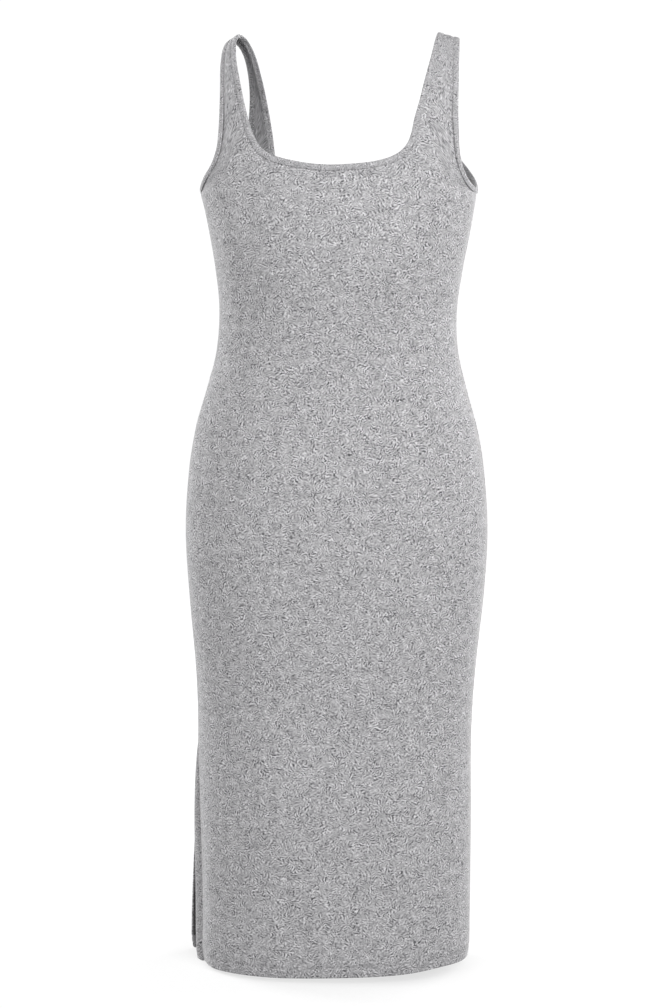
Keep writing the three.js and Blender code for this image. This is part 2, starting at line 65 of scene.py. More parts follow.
# Horizontal sections from the shoulders down: height, half width, depth in front of and behind the
# side seams, squareness of the outline, and sideways shift.
SECTION_SIZES = ("z", "half", "front", "back", "square", "shift")
SECTIONS = (
    (-90, 172, 84, 98, 2.3, 2.6),
    (-125, 173, 90.5, 104, 2.3, 2.7),
    (-160, 173, 96, 108, 2.3, 2.7),
    (-192, 172, 102, 110, 2.3, 2.7),
    (-215, 167.5, 107, 110, 2.28, 3.8),
    (-242, 162.5, 111, 108, 2.25, 4.3),
    (-290, 154, 110, 103, 2.2, 3.6),
    (-340, 148.4, 102, 97, 2.15, 2.4),
    (-390, 151, 98, 96, 2.15, 1.2),
    (-440, 163.2, 99, 101, 2.2, 0.5),
    (-490, 177, 104, 110, 2.25, 0.3),
    (-540, 185.2, 109, 119, 2.3, 0.2),
    (-615, 190, 112, 127, 2.3, 0.2),
    (-692, 186.2, 110, 126, 2.3, 0.1),
    (-794, 176.8, 106, 119, 2.3, -1),
    (-870, 173.4, 104, 114, 2.3, -2),
    (-1000, 173.6, 103, 110, 2.3, -2.4),
    (-1170, 173.4, 104, 108, 2.3, -3.4),
)

# Strap edges from the front root over the shoulder seam to the back root: neck side, then arm side.
STRAPS = {
    RIGHT: (
        ((104, -76, -110), (156, -48, -124)),
        ((109.6, -69, -88), (155, -45, -100)),
        ((115, -58.5, -62), (154.7, -38, -72)),
        ((120.6, -44, -36), (154.3, -28, -45)),
        ((124.3, -24, -12.5), (153.8, -14, -20)),
        ((125.5, 0, -1), (152.5, 5, -8.5)),
        ((122.4, 24, -10), (148.5, 29, -18)),
        ((115.8, 43, -32), (142.5, 49, -42)),
        ((108.6, 61, -61), (137.5, 64, -70)),
        ((102.6, 77, -91), (135.3, 74, -100)),
        ((98.5, 91, -120), (137, 79, -131)),
    ),
    LEFT: (
        ((-97.5, -76, -110), (-138.5, -55, -124)),
        ((-104.4, -69, -88), (-138.8, -44, -98)),
        ((-111.2, -58.5, -62), (-139.8, -33, -70)),
        ((-118.4, -42, -34), (-141.2, -21, -41)),
        ((-121.4, -22, -11), (-140.6, -4, -18.5)),
        ((-119.6, -2, -1), (-137, 14, -8.5)),
        ((-113.4, 14, -5.5), (-130.4, 30, -8.5)),
        ((-106.4, 33, -22), (-123.6, 49, -20)),
        ((-101.4, 53, -47), (-119.9, 67, -45)),
        ((-96.8, 74, -80), (-120.6, 80, -80)),
        ((-92.6, 91, -120), (-126.8, 82, -126)),
    ),
}

# Necklines from the viewer's right to the left, and armhole edges from the strap down: x and height.
NECKLINES = {
    FRONT: ((100.6, -127), (95.6, -140), (85.5, -150.5), (63, -159.4), (18, -164.2),
            (-10, -163.8), (-41, -159.2), (-68, -151.5), (-82, -142), (-90.5, -128)),
    BACK: ((95, -146), (88, -170), (74, -189), (51, -201), (18, -206),
           (-18, -206), (-51, -201), (-72, -189), (-84, -170), (-90, -146)),
}
ARMHOLES = {
    (RIGHT, FRONT): ((157, -145), (160.3, -163), (165.8, -178)),
    (RIGHT, BACK): ((148, -149), (160.5, -164.5), (169.8, -177)),
    (LEFT, FRONT): ((-139.8, -142), (-146.5, -160), (-158, -176)),
    (LEFT, BACK): ((-138, -151), (-150, -168), (-161.5, -180)),
}

# Where the open slit edges stand off the closed outline at the hem: x, y and reach round the dress.
SLIT_OPEN = {FRONT: (-3, -4, 0.3), BACK: (-16, 26, 0.66)}

# Soft folds of the filled cloth: place round the dress in half turns from the viewer's right seam,
# height, spread of each, and depth (negative is a trough).
FOLDS = {
    FRONT: (
        (0.16, -300, 0.09, 60, -1.4),
        (0.84, -300, 0.09, 60, -1.4),
        (0.5, -300, 0.24, 50, 1.2),
        (0.36, -760, 0.07, 210, 1.6),
        (0.66, -820, 0.08, 230, 1.8),
    ),
    BACK: (
        (0.2, -320, 0.1, 60, -2.4),
        (0.8, -315, 0.1, 60, -2.2),
        (0.5, -380, 0.2, 60, -2.6),
        (0.35, -900, 0.08, 200, 1.8),
        (0.64, -860, 0.08, 210, 1.8),
    ),
}


@functools.cache
def section_row(z):
    """The two rows of the table round a height, with the rows above and below them."""
    last = len(SECTIONS) - 1
    row = 0
    while row < last - 1 and z < SECTIONS[row + 1][0]:
        row += 1
    return [SECTIONS[min(last, max(0, row + step))] for step in (-1, 0, 1, 2)]


def smooth_step(value):
    t = min(1.0, max(0.0, value))
    return t * t * (3 - 2 * t)


def mix(start, end, t):
    return start + (end - start) * t


def hump(distance, spread):
    return math.exp(-((distance / spread) ** 2))


def section(name, z):
    """One size of the dress's outline at a height, smooth through the rows of the table."""
    place = SECTION_SIZES.index(name)
    above, start, end, below = section_row(z)
    start_slope = (end[place] - above[place]) / (end[0] - above[0])
    end_slope = (below[place] - start[place]) / (below[0] - start[0])
    span = end[0] - start[0]
    t = min(1.0, max(0.0, (z - start[0]) / span))
    between = start[place] + (end[place] - start[place]) * t * t * (3 - 2 * t)
    return between + span * t * (1 - t) * (start_slope * (1 - t) - end_slope * t)


def slit_opening(side, z):
    below = min(1.0, max(0.0, (SLIT_TOP_Z - z) / (SLIT_TOP_Z - HEM_Z)))
    return below * (2 - below) if side == FRONT else mix(below * (2 - below), smooth_step(below), 0.5)


def dress_point(side, turn, z):
    """A point of the filled dress: turn runs from 0 at the viewer's right seam to pi at the left."""
    square, half = section("square", z), section("half", z)
    depth = section("front" if side == FRONT else "back", z)
    across, out = math.cos(turn), max(0.0, math.sin(turn))
    reach = (abs(across) ** square + out ** square) ** (-1 / square)
    normal = Vector((across / half, side * out / depth)).normalized()
    fold = sum(
        tall * hump(turn / math.pi - at, wide) * hump(z - height, spread)
        for at, height, wide, spread, tall in FOLDS[side]
    )
    open_x, open_y, open_reach = SLIT_OPEN[side]
    opening = slit_opening(side, z) * (1 - smooth_step((math.pi - turn) / open_reach))
    x = section("shift", z) + half * across * reach + normal.x * fold + open_x * opening
    y = side * depth * out * reach + normal.y * fold + open_y * opening
    return Vector((x, y, z + HEM_TILT * x * smooth_step((HEM_Z + TILT_SPAN - z) / TILT_SPAN)))


def turn_at(x, z):
    square = section("square", z)
    offset = (x - section("shift", z)) / section("half", z)
    across = min(1.0, abs(offset))
    return math.atan2((1 - across ** square) ** (1 / square), math.copysign(across, offset))


def dress_normal(side, turn, z):
    step = 0.01
    inside = min(math.pi - step, max(step, turn))
    around = dress_point(side, inside + step, z) - dress_point(side, inside - step, z)
    up = dress_point(side, inside, z + 1) - dress_point(side, inside, z - 1)
    return up.cross(around).normalized() * -side


def closed_line(knots):
    """A smooth closed line through knots: gives the point and direction at a knot number."""
    def at(knot):
        first = math.floor(knot)
        t = knot - first
        a, b, c, d = (knots[(first + step) % len(knots)] for step in (-1, 0, 1, 2))
        ab, bc, cd = (math.sqrt((end - start).length) for start, end in ((a, b), (b, c), (c, d)))
        leave = ((b - a) / ab - (c - a) / (ab + bc) + (c - b) / bc) * bc
        arrive = ((c - b) / bc - (d - b) / (bc + cd) + (d - c) / cd) * bc
        square = 3 * (c - b) - 2 * leave - arrive
        cube = 2 * (b - c) + leave + arrive
        return b + t * (leave + t * (square + t * cube)), leave + t * (2 * square + 3 * t * cube)
    return at


def edge_loop(knots, middle, strap_way):
    """A finished edge: gives the point at a knot number, an inset into the cloth and a rise off it."""
    line = closed_line(knots)
    samples, passes = 8, 6
    point, along = line(0)
    facing = 1 if along.cross(strap_way(0)).y < 0 else -1
    ways = []
    for index in range(len(knots) * samples):
        point, along = line(index / samples)
        along.normalize()
        into = strap_way(index / samples)
        if into is None:
            side = FRONT if point.y < 0 else BACK
            into = dress_normal(side, turn_at(point.x, point.z), point.z).cross(along)
            into *= -1 if into.dot(point - middle) < 0 else 1
        ways.append((into - along * into.dot(along)).normalized())
    count = len(ways)
    for _ in range(passes):
        ways = [(ways[i - 1] + ways[i] + ways[(i + 1) % count]).normalized() for i in range(count)]

    def edge(knot, inset, rise):
        knot %= len(knots)
        point, along = line(knot)
        along.normalize()
        place = knot * samples
        here, after = ways[int(place) % len(ways)], ways[(int(place) + 1) % len(ways)]
        into = here.lerp(after, place % 1)
        into = (into - along * into.dot(along)).normalized()
        return point + into * inset + along.cross(into).normalized() * facing * rise
    return edge


def on_dress(side, places):
    return [dress_point(side, turn_at(x, z), z) for x, z in places]


SPANS = len(STRAPS[RIGHT]) - 1
CREST = SPANS / 2
NECK_LEFT = SPANS + len(NECKLINES[BACK]) + 1
NECK_KNOTS = 2 * (SPANS + 1) + len(NECKLINES[BACK]) + len(NECKLINES[FRONT])
UNDERARM = SPANS + len(ARMHOLES[RIGHT, BACK]) + 1
ARMHOLE_KNOTS = UNDERARM + len(ARMHOLES[RIGHT, FRONT]) + 1
neck_line = [Vector(neck) for neck, arm in STRAPS[RIGHT]]
neck_line += on_dress(BACK, NECKLINES[BACK])
neck_line += [Vector(neck) for neck, arm in reversed(STRAPS[LEFT])]
neck_line += on_dress(FRONT, NECKLINES[FRONT])[::-1]
arm_lines = {
    hand: [Vector(arm) for neck, arm in STRAPS[hand]]
    + on_dress(BACK, ARMHOLES[hand, BACK])
    + [dress_point(FRONT, 0 if hand == RIGHT else math.pi, UNDERARM_Z)]
    + on_dress(FRONT, ARMHOLES[hand, FRONT])[::-1]
    for hand in (RIGHT, LEFT)
}


def neck_knot(hand, q):
    return q if hand == RIGHT else NECK_LEFT + SPANS - q


def strap_across(hand, q):
    return closed_line(arm_lines[hand])(q)[0] - closed_line(neck_line)(neck_knot(hand, q))[0]


def neck_way(knot):
    if knot <= SPANS:
        return strap_across(RIGHT, knot)
    if NECK_LEFT <= knot <= NECK_LEFT + SPANS:
        return strap_across(LEFT, NECK_LEFT + SPANS - knot)
    return None


def arm_way(hand):
    return lambda knot: -strap_across(hand, knot) if knot <= SPANS else None


neck_edge = edge_loop(neck_line, Vector((0, 0, -80)), neck_way)
arm_edges = {
    hand: edge_loop(arm_lines[hand], Vector((146 * hand, 12, -90)), arm_way(hand))
    for hand in (RIGHT, LEFT)
}


def lengths_along(line):
    walked = [0.0]
    for start, end in zip(line, line[1:]):
        walked.append(walked[-1] + (end - start).length)
    return walked


def place_along(walked, wanted):
    """Where a length falls on a line: the number of the point before it, and the share to the next."""
    before = min(len(walked) - 2, max(0, bisect.bisect_left(walked, wanted) - 1))
    return before, (wanted - walked[before]) / (walked[before + 1] - walked[before])


def spaced_knots(edge, first, last, count):
    """Knot numbers from one to another, evenly spaced along an edge."""
    samples = 240
    fine = [mix(first, last, index / samples) for index in range(samples + 1)]
    walked = lengths_along([edge(knot, 0, 0) for knot in fine])
    places = [place_along(walked, walked[-1] * step / count) for step in range(count + 1)]
    return [mix(fine[before], fine[before + 1], share) for before, share in places]


# Stations across a panel: 0 to 5 from the right seam to the neckline, 5 to 25 under it, then to 30.
NECK_FROM, NECK_TO, LAST_STATION = 5, 25, 30
NECK_COLUMNS = 72
SEAM_STATIONS = (
    0, 0.03, 0.075, 0.14, 0.23, 0.34, 0.46, 0.58, 0.7, 0.82, 0.94, 1.06, 1.2,
    1.4, 1.7, 2.05, 2.45, 2.85, 3.25, 3.65, 4, 4.3, 4.55, 4.75, 4.9,
)
STATIONS = (
    *SEAM_STATIONS,
    *(NECK_FROM + (NECK_TO - NECK_FROM) * index / NECK_COLUMNS for index in range(NECK_COLUMNS + 1)),
    *(LAST_STATION - station for station in reversed(SEAM_STATIONS)),
)
FIRST_NECK, LAST_NECK = len(SEAM_STATIONS), len(SEAM_STATIONS) + NECK_COLUMNS
ROOTS = ((RIGHT, slice(0, FIRST_NECK + 1)), (LEFT, slice(LAST_NECK, len(STATIONS))))
# Rows of a panel, by height over the hem, then evenly up the skirt, the bib and the straps.
HEM_ROWS = (1.6, 3.4, 5.5, 7.6, 9.6, 11, 12.2, 13.4, 14.6, 15.8, 17.4, 19.8, 23)
SKIRT_ROW = 6
BIB_ROWS = 34
STRAP_ROWS = 56
CLOTH_REACH = BINDING_WIDTH - TUCK
SLIT_CUT = {FRONT: 0.06, BACK: 0}
SLIT_CUT_EASE = 60


def station_share(hand, station):
    """How far a station lies across a strap's root, from the viewer's right to the left."""
    return (station - (0 if hand == RIGHT else NECK_TO)) / NECK_FROM


def middle_share(station):
    return math.sin(math.pi * station / LAST_STATION) ** 2


def spot_of(side, point):
    """Where a point lies round and up the dress, and how far it stands off the dress there."""
    turn = turn_at(point.x, point.z)
    return turn, point.z, point - dress_point(side, turn, point.z)


def top_row(side):
    """A panel's top row: along the neckline, and on across the roots of both straps."""
    ends = (NECK_KNOTS, NECK_LEFT + SPANS) if side == FRONT else (SPANS, NECK_LEFT)
    top = [None] * len(STATIONS)
    for index, knot in enumerate(spaced_knots(neck_edge, *ends, NECK_COLUMNS)):
        top[FIRST_NECK + index] = neck_edge(knot, CLOTH_REACH, 0)
    for hand, zone in ROOTS:
        arm = arm_edges[hand](0 if side == FRONT else SPANS, CLOTH_REACH, 0)
        start, end = (arm, top[FIRST_NECK]) if hand == RIGHT else (top[LAST_NECK], arm)
        (turn_a, z_a, error_a), (turn_b, z_b, error_b) = spot_of(side, start), spot_of(side, end)
        for index in range(*zone.indices(len(STATIONS))):
            t = station_share(hand, STATIONS[index])
            point = dress_point(side, mix(turn_a, turn_b, t), mix(z_a, z_b, t))
            top[index] = point + error_a.lerp(error_b, t)
    return top


def panel_rows(side):
    """Rows of a panel from the hem to the strap roots: points, turns with heights, and rows' heights."""
    seam_turn = SIDE_SEAM_GAP / 2 / section("front" if side == FRONT else "back", UNDERARM_Z)
    dip = DIPS[side]
    seam_z = arm_edges[RIGHT](UNDERARM, CLOTH_REACH, 0).z

    def turn_of(station):
        if station < NECK_FROM:
            return mix(seam_turn, NECK_TURN, station / NECK_FROM)
        if station <= NECK_TO:
            return mix(NECK_TURN, math.pi - NECK_TURN, (station - NECK_FROM) / (NECK_TO - NECK_FROM))
        return mix(math.pi - NECK_TURN, math.pi - seam_turn, station_share(LEFT, station))

    turns = [turn_of(station) for station in STATIONS]
    heights = [HEM_Z + up for up in HEM_ROWS]
    count = round((seam_z - heights[-1]) / SKIRT_ROW)
    heights += [mix(heights[-1], seam_z, row / count) for row in range(1, count + 1)]
    spots = []
    for height in heights:
        sink = dip * (1 - smooth_step((seam_z - height) / DIP_SPAN))
        cut = SLIT_CUT[side] * smooth_step((SLIT_TOP_Z - height) / SLIT_CUT_EASE)
        spots.append([
            (turn - cut * smooth_step(station_share(LEFT, station)), height - sink * middle_share(station))
            for turn, station in zip(turns, STATIONS)
        ])
    points = [[dress_point(side, turn, z) for turn, z in row] for row in spots]

    # The bib: rows that rise from the underarms, fitted to the armhole edges and to the top row.
    top_knot = ARMHOLE_KNOTS if side == FRONT else SPANS
    rise = {h: spaced_knots(arm_edges[h], UNDERARM, top_knot, BIB_ROWS) for h in (RIGHT, LEFT)}
    top_spots = [spot_of(side, point) for point in top_row(side)]
    for step in range(1, BIB_ROWS + 1):
        t = step / BIB_ROWS
        pulls = []
        for hand, end in ((RIGHT, 0), (LEFT, -1)):
            turn, z, error = spot_of(side, arm_edges[hand](rise[hand][step], CLOTH_REACH, 0))
            above_turn, above_z, above_error = top_spots[end]
            bottom_z = seam_z - dip * middle_share(STATIONS[end])
            error -= above_error * t
            pulls.append((turn - mix(turns[end], above_turn, t), z - mix(bottom_z, above_z, t), error))
        row, row_spots = [], []
        for index, station in enumerate(STATIONS):
            top_turn, top_z, top_error = top_spots[index]
            turn = mix(turns[index], top_turn, t)
            z = mix(seam_z - dip * middle_share(station), top_z, t)
            error = top_error * t
            shares = (smooth_step(1 - station / NECK_FROM), smooth_step(station_share(LEFT, station)))
            for share, (turn_pull, z_pull, error_pull) in zip(shares, pulls):
                turn += share * turn_pull
                z += share * z_pull
                error = error + error_pull * share
            row.append(dress_point(side, turn, z) + error)
            row_spots.append((turn, z))
        points.append(row)
        spots.append(row_spots)
    return points, spots, heights


LIP_SAMPLES = 500
lips = [
    edge(knot, BINDING_WIDTH, 0)
    for edge, last in (
        (neck_edge, NECK_KNOTS), (arm_edges[RIGHT], ARMHOLE_KNOTS), (arm_edges[LEFT], ARMHOLE_KNOTS),
    )
    for knot in spaced_knots(edge, 0, last, LIP_SAMPLES)
]
lip_tree = KDTree(len(lips))
for place, point in enumerate(lips):
    lip_tree.insert(point, place)
lip_tree.balance()


def lip_distance(point):
    return lip_tree.find(point)[2]


# Troughs that seams, stitching and bindings pull in the knit: depths, then spreads.
SEAM_SINK, SEAM_SPREAD, SHOULDER_SPREAD = 0.9, 2.2, 2.4
STITCH_SINK, STITCH_SPREAD = 0.8, 2.4
BINDING_SINK, BINDING_SPREAD = 0.65, 2.6
HEM_DEPTH = 15.8
HEM_STITCHES = (12.2, 14.6)
HEM_CURL = 1.8

# Creases of the knit, finer than the folds: place round the dress, height, spread towards the
# viewer's right and left, spread up and down, depth, and how far round they lean in 100 mm of climb.
CREASES = {
    FRONT: (
        (0.88, -1040, 0.14, 0.05, 180, -2.4, 0),
        (0.7, -222, 0.035, 0.03, 46, -1.5, -0.02),
        (0.77, -250, 0.04, 0.05, 70, 1.3, -0.03),
        (0.3, -226, 0.03, 0.035, 34, -1.1, 0.03),
        (0.2, -262, 0.05, 0.05, 78, 1.4, 0.02),
        (0.86, -405, 0.05, 0.08, 16, -1.1, 0.05),
        (0.12, -420, 0.07, 0.05, 18, -1.2, -0.04),
        (0.9, -476, 0.05, 0.06, 22, 0.9, 0.06),
        (0.24, -905, 0.05, 0.07, 150, -1.1, -0.01),
        (0.44, -1075, 0.05, 0.06, 90, -0.9, 0.01),
    ),
    BACK: (
        (0.42, -412, 0.1, 0.16, 15, -1.8, 0.06),
        (0.61, -448, 0.14, 0.1, 18, -1.6, -0.05),
        (0.3, -470, 0.07, 0.09, 20, 1.1, 0.05),
        (0.72, -505, 0.08, 0.06, 24, 1.2, -0.06),
        (0.16, -300, 0.04, 0.05, 60, -1.4, 0.03),
        (0.83, -286, 0.05, 0.04, 55, -1.6, -0.03),
        (0.38, -1000, 0.12, 0.2, 170, 3.2, 0.005),
        (0.7, -930, 0.06, 0.08, 140, -1.6, -0.01),
        (0.22, -1060, 0.05, 0.06, 110, -1.2, 0.01),
    ),
}
# The skirt breaks along a soft upright line beside the slit, and falls away from it on both sides,
# within these shares of a half turn to the viewer's right and left.
BREAK_AT, BREAK_HEIGHT = 0.605, 7
BREAK_TOP_Z, BREAK_EASE = -835, 110
BREAK_FALLS = (0.3, 0.2)

# The front's slit edge: a trough at its stitching and a low ridge beyond it, a dent that draws the
# margin in towards the hem, and a stretch half way down where the edge stands out.
SLIT_EASE = 24
SLIT_TURN = 22
SLIT_STITCH = 19
GROOVE_DEPTH, GROOVE_SPREAD = 2, 3.4
RIDGE_HEIGHT, RIDGE_SPREAD, RIDGE_AWAY = 0.5, 3.6, 6
DENT_DEPTH, DENT_SPAN, DENT_REACH = 4.2, 230, 45
STAND, STAND_Z, STAND_SPREAD = 3.2, -965, 90

# The hem beside the slit: the turned margin hangs below it and its stitching pulls up a notch, the
# hem is drawn up beyond the margin and near the other side seam, and the corner is round.
MARGIN_HANG, HANG_REACH, HANG_EASE = 2.2, 12, 8
NOTCH_PULL, NOTCH_SPREAD = 1.2, 3
HEM_RAISE, RAISE_FROM, RAISE_EASE = 2.4, 17, 6
RAISE_TO, RAISE_FADE = 26, 46
SIDE_RAISE_AT, SIDE_RAISE_SPREAD = 72, 36
CORNER_ROUND = 5
DROP_REACH = 30

# Painted shade on the front's slit margin, which stands in for the shade where the margin turns
# away from the light: fully beside its edge, less towards the hem, and fading out past the stitches.
MARGIN_SHADE, SHADE_PAST_SLIT = 0.72, 6
HEM_SHADE_LOSS, HEM_SHADE_Z, HEM_SHADE_SPAN = 0.4, -950, 120
STITCH_SHADE_LOSS, STITCH_SHADE_FROM, STITCH_SHADE_EASE = 0.7, -3.5, 4
FAR_SHADE_LOSS, FAR_SHADE_FROM, FAR_SHADE_EASE = 0.3, 3, 14


def cloth_lift(side, turn, z, to_right, to_left, above_hem, to_lip):
    """How far seams, stitches, creases and the skirt's break lift or sink the cloth at a point."""
    in_slit = smooth_step((SLIT_TOP_Z - z) / SLIT_EASE)
    lift = -SEAM_SINK * hump(to_right, SEAM_SPREAD)
    lift -= SEAM_SINK * hump(to_left, SEAM_SPREAD) * (1 - in_slit)
    lift -= HEM_CURL * (1 - smooth_step(above_hem / HEM_DEPTH))
    lift -= STITCH_SINK * hump(above_hem - sum(HEM_STITCHES) / 2, STITCH_SPREAD)
    lift -= BINDING_SINK * hump(to_lip, BINDING_SPREAD)
    for at, crease_z, right, left, tall, deep, lean in CREASES[side]:
        place = turn / math.pi - at - lean * (z - crease_z) / 100
        lift += deep * hump(place, right if place < 0 else left) * hump(z - crease_z, tall)
    if side == BACK:
        return lift - in_slit * STITCH_SINK * hump(to_left - SLIT_STITCH, STITCH_SPREAD)
    past = turn / math.pi - BREAK_AT
    fall = math.exp(-abs(past) / BREAK_FALLS[0 if past < 0 else 1])
    lift += BREAK_HEIGHT * smooth_step((BREAK_TOP_Z - z) / BREAK_EASE) * fall
    ridge = RIDGE_HEIGHT * hump(to_left - SLIT_STITCH - RIDGE_AWAY, RIDGE_SPREAD)
    return lift + in_slit * (ridge - GROOVE_DEPTH * hump(to_left - SLIT_STITCH, GROOVE_SPREAD))


def slit_shift(z, to_left):
    """How far the front's slit edge and its margin lie towards the viewer's right."""
    dent = DENT_DEPTH * smooth_step((SLIT_TOP_Z - z) / DENT_SPAN)
    near = smooth_step(to_left / SLIT_STITCH) * (1 - smooth_step((to_left - SLIT_STITCH) / DENT_REACH))
    stand = STAND * smooth_step((SLIT_TOP_Z - z) / SLIT_EASE) * hump(z - STAND_Z, STAND_SPREAD)
    return dent * near - stand * (1 - smooth_step(to_left / SLIT_TURN))


def hem_drop(side, to_right, to_left):
    """How far the hem hangs below its even line."""
    drop = 0
    if side == FRONT:
        drop = MARGIN_HANG * (1 - smooth_step((to_left - HANG_REACH) / HANG_EASE))
        drop -= NOTCH_PULL * hump(to_left - SLIT_STITCH - 1, NOTCH_SPREAD)
        raised = HEM_RAISE * smooth_step((to_left - RAISE_FROM) / RAISE_EASE)
        drop -= raised * (1 - smooth_step((to_left - RAISE_TO) / RAISE_FADE))
        drop -= HEM_RAISE * hump(to_right - SIDE_RAISE_AT, SIDE_RAISE_SPREAD)
    corner = max(0.0, 1 - to_left / CORNER_ROUND)
    return drop - CORNER_ROUND * (1 - math.sqrt(1 - corner * corner))


def painted_margin_shade(z, to_left):
    """How much painted shade darkens a point of the front's slit margin."""
    shade_here = MARGIN_SHADE * smooth_step((SLIT_TOP_Z + SHADE_PAST_SLIT - z) / SLIT_EASE)
    shade_here *= 1 - HEM_SHADE_LOSS * smooth_step((HEM_SHADE_Z - z) / HEM_SHADE_SPAN)
    past = to_left - SLIT_STITCH
    kept = 1 - STITCH_SHADE_LOSS * smooth_step((past - STITCH_SHADE_FROM) / STITCH_SHADE_EASE)
    return shade_here * (kept - FAR_SHADE_LOSS * smooth_step((past - FAR_SHADE_FROM) / FAR_SHADE_EASE))


FOLD_STEPS = 6
FOLD_CLOTH = 2 * KNIT_WALL
ROLL_START, ROLL_GROWTH = 0.05, 0.02


def turned_hem(points, normals, walked, cloth):
    """The hem's turning: from its raw edge down inside the panel, and round the fold. Where the slit's
    margin is turned over it, it lies one thickness deeper."""
    past_turn = 4
    extra = [
        KNIT_WALL * smooth_step((SLIT_TURN + past_turn - (walked[0][-1] - at)) / past_turn)
        for at in walked[0]
    ]
    rows, flat = [], []
    for r in reversed(range(sum(up <= HEM_DEPTH for up in HEM_ROWS))):
        rows.append([
            point - normal * (FOLD_CLOTH + more) for point, normal, more in zip(points[r], normals[r], extra)
        ])
        flat.append([(u, -v - FOLD_CLOTH) for u, v in cloth[r]])
    for step in reversed(range(1, FOLD_STEPS)):
        angle = math.pi * step / FOLD_STEPS
        row = []
        for point, above, normal, more in zip(points[0], points[1], normals[0], extra):
            down = (point - above).normalized() * HEM_ROWS[0] * math.sin(angle)
            row.append(point + down - normal * (KNIT_WALL + more / 2) * (1 - math.cos(angle)))
        rows.append(row)
        flat.append([(u, -FOLD_CLOTH * step / FOLD_STEPS) for u, v in cloth[0]])
    return rows, flat


def turned_slit(points, normals, walked, cloth, heights):
    """The slit edge's turning: round the fold and back inside the panel, over the hem's corner."""
    rows, flat = [], []
    for r in range(sum(height <= SLIT_TOP_Z for height in heights)):
        edge, normal = points[r][-1], normals[r][-1]
        roll = min(KNIT_WALL, ROLL_START + ROLL_GROWTH * (SLIT_TOP_Z - heights[r]))
        out = (edge - points[r][-2]).normalized() * roll
        u, v = cloth[r][-1]
        row, row_flat = [edge], [(u, v)]
        for step in range(1, FOLD_STEPS):
            angle = math.pi * step / FOLD_STEPS
            row.append(edge + out * math.sin(angle) - normal * KNIT_WALL * (1 - math.cos(angle)))
            row_flat.append((u + FOLD_CLOTH * step / FOLD_STEPS, v))
        for c in reversed(range(1, len(STATIONS))):
            inwards = walked[r][-1] - walked[r][c]
            if inwards > SLIT_TURN:
                break
            row.append(points[r][c] - normals[r][c] * FOLD_CLOTH)
            row_flat.append((u + FOLD_CLOTH + inwards, v))
        rows.append(row)
        flat.append(row_flat)
    narrowest = min(len(row) for row in rows)
    return [row[:narrowest] for row in rows], [row[:narrowest] for row in flat]


def strap_row(hand, q, shares, sink=0.0):
    """A row across a strap at a knot, from its right edge to its left, sunk into the cloth."""
    neck = neck_edge(neck_knot(hand, q), CLOTH_REACH, 0)
    arm = arm_edges[hand](q, CLOTH_REACH, 0)
    up = arm_edges[hand](q, CLOTH_REACH, 1) - arm
    start, end = (arm, neck) if hand == RIGHT else (neck, arm)
    return [start.lerp(end, t) + up * (STRAP_CROWN * 4 * t * (1 - t) - sink) for t in shares]


def knot_span(hand):
    """The length of cloth over the shoulder from one knot of a strap to the next."""
    return (strap_row(hand, CREST - 0.5, (0.5,))[0] - strap_row(hand, CREST + 0.5, (0.5,))[0]).length


def half_strap(side, hand, root, root_cloth, shares):
    """A panel's half of a strap, from its root to the shoulder seam."""
    root_row = strap_row(hand, 0 if side == FRONT else SPANS, shares)
    errors = [point - start for point, start in zip(root, root_row)]
    crest_span = knot_span(hand)
    rows = [root]
    for step in range(1, STRAP_ROWS + 1):
        away = (CREST - SEAM_GAP / 2 / crest_span) * step / STRAP_ROWS
        q = away if side == FRONT else SPANS - away
        keep = 1 - smooth_step(away / ROOT_BLEND)
        sink = SEAM_SINK * hump((CREST - away) * crest_span, SHOULDER_SPREAD)
        row = [point + error * keep for point, error in zip(strap_row(hand, q, shares, sink), errors)]
        up = arm_edges[hand](q, CLOTH_REACH, 1) - arm_edges[hand](q, CLOTH_REACH, 0)
        rows.append([point - up * BINDING_SINK * hump(lip_distance(point), BINDING_SPREAD) for point in row])
    climbs = [lengths_along(column) for column in zip(*rows)]
    flat = [[(u, v + climb[r]) for (u, v), climb in zip(root_cloth, climbs)] for r in range(len(rows))]
    return rows, flat


def lay_grid(mesh, rows, cloth, flipped, painted_shade=None):
    """Lays one grid of knit through rows of points, with its place on the flat cut as its UV.
    Its painted shade, where given, darkens the cloth's colour at each point to stand in for shade."""
    across, up = len(rows[0]) - 1, len(rows) - 1
    layer = mesh.loops.layers.uv.get("UVMap") or mesh.loops.layers.uv.new("UVMap")
    shade_paint = mesh.verts.layers.float.get("painted_shade") or mesh.verts.layers.float.new("painted_shade")
    made = bmesh.ops.create_grid(mesh, x_segments=across, y_segments=up, size=1)["verts"]
    flat = {}
    for vert in made:
        column = round((vert.co.x + 1) / 2 * across)
        row = round((vert.co.y + 1) / 2 * up)
        flat[vert] = Vector(cloth[row][column]) * MM
        vert.co = rows[row][column] * MM
        vert[shade_paint] = painted_shade[row][column] if painted_shade else 0
    faces = list({face for vert in made for face in vert.link_faces})
    for face in faces:
        for loop in face.loops:
            loop[layer].uv = flat[loop.vert]
    if flipped:
        bmesh.ops.reverse_faces(mesh, faces=faces)
    mesh.normal_update()


def place_piece(mesh, name, material):
    """Lays a finished mesh in the scene as an object of its own, shaded smooth in one material."""
    for face in mesh.faces:
        face.smooth = True
    data = bpy.data.meshes.new(name)
    mesh.to_mesh(data)
    mesh.free()
    data.materials.append(material)
    piece = bpy.data.objects.new(name, data)
    bpy.context.scene.collection.objects.link(piece)
    return piece


